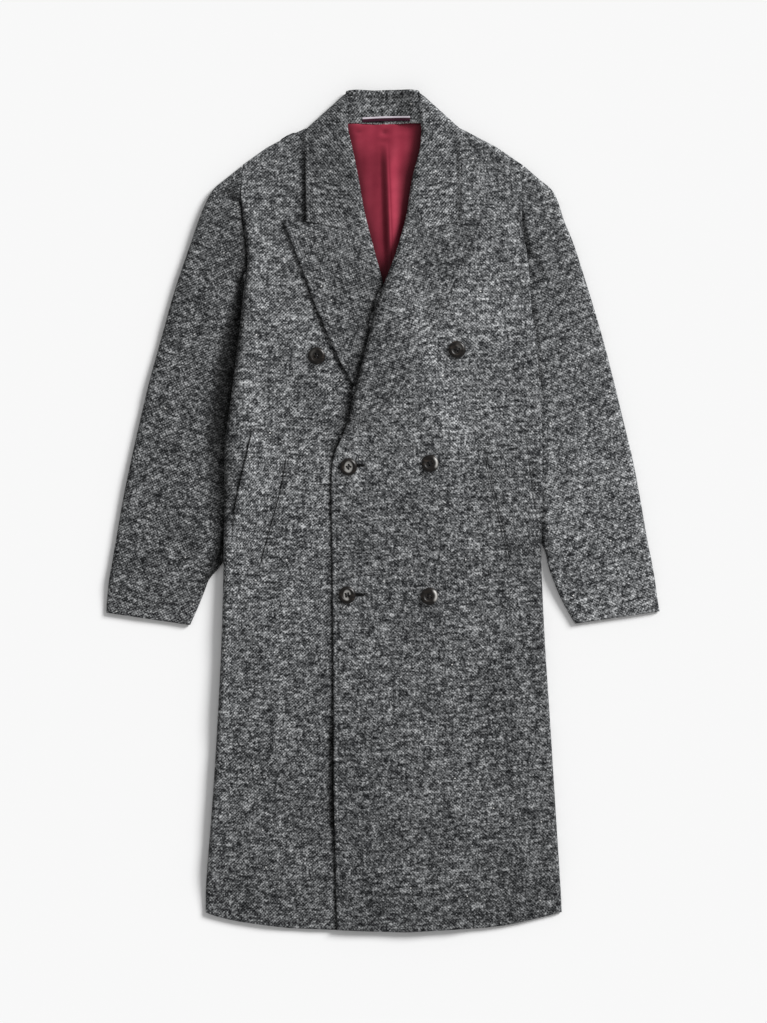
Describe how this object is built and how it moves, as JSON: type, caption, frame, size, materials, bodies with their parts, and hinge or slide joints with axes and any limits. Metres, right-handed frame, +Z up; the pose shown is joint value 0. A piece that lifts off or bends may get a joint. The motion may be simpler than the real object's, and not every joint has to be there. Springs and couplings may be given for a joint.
{
  "type": "double-breasted overcoat",
  "caption": "Long double-breasted wool overcoat laid flat on its back, with a turned collar, wide peaked lapels, slanted welt pockets, horn-look buttons and a lined neck.",
  "frame": {"origin": "centre of the coat's outline in plan, on the flat surface that it lies on", "axes": "+Y from the hem to the collar, +X to the wearer's left, +Z up out of the fronts"},
  "size_m": [0.802, 1.2196, 0.0215],
  "materials": {
    "wool": "matte salt-and-pepper grey coating cloth with a coarse twill",
    "lining": "smooth wine-red satin lining",
    "loop": "dark plum tape",
    "horn": "polished dark brown horn"
  },
  "bodies": {
    "root": {"back": "wool", "front_right": "wool", "front_left": "wool", "facing_right": "wool", "facing_left": "wool", "collar": "wool", "collar_stand": "wool", "sleeve_right_top": "wool", "sleeve_right_under": "wool", "sleeve_left_top": "wool", "sleeve_left_under": "wool", "welt_right": "wool", "welt_left": "wool", "lining_back": "lining", "hanger_loop": "loop", "button_1": "horn", "button_2": "horn", "button_3": "horn", "button_4": "horn", "button_5": "horn", "button_6": "horn"}
  },
  "joints": []
}
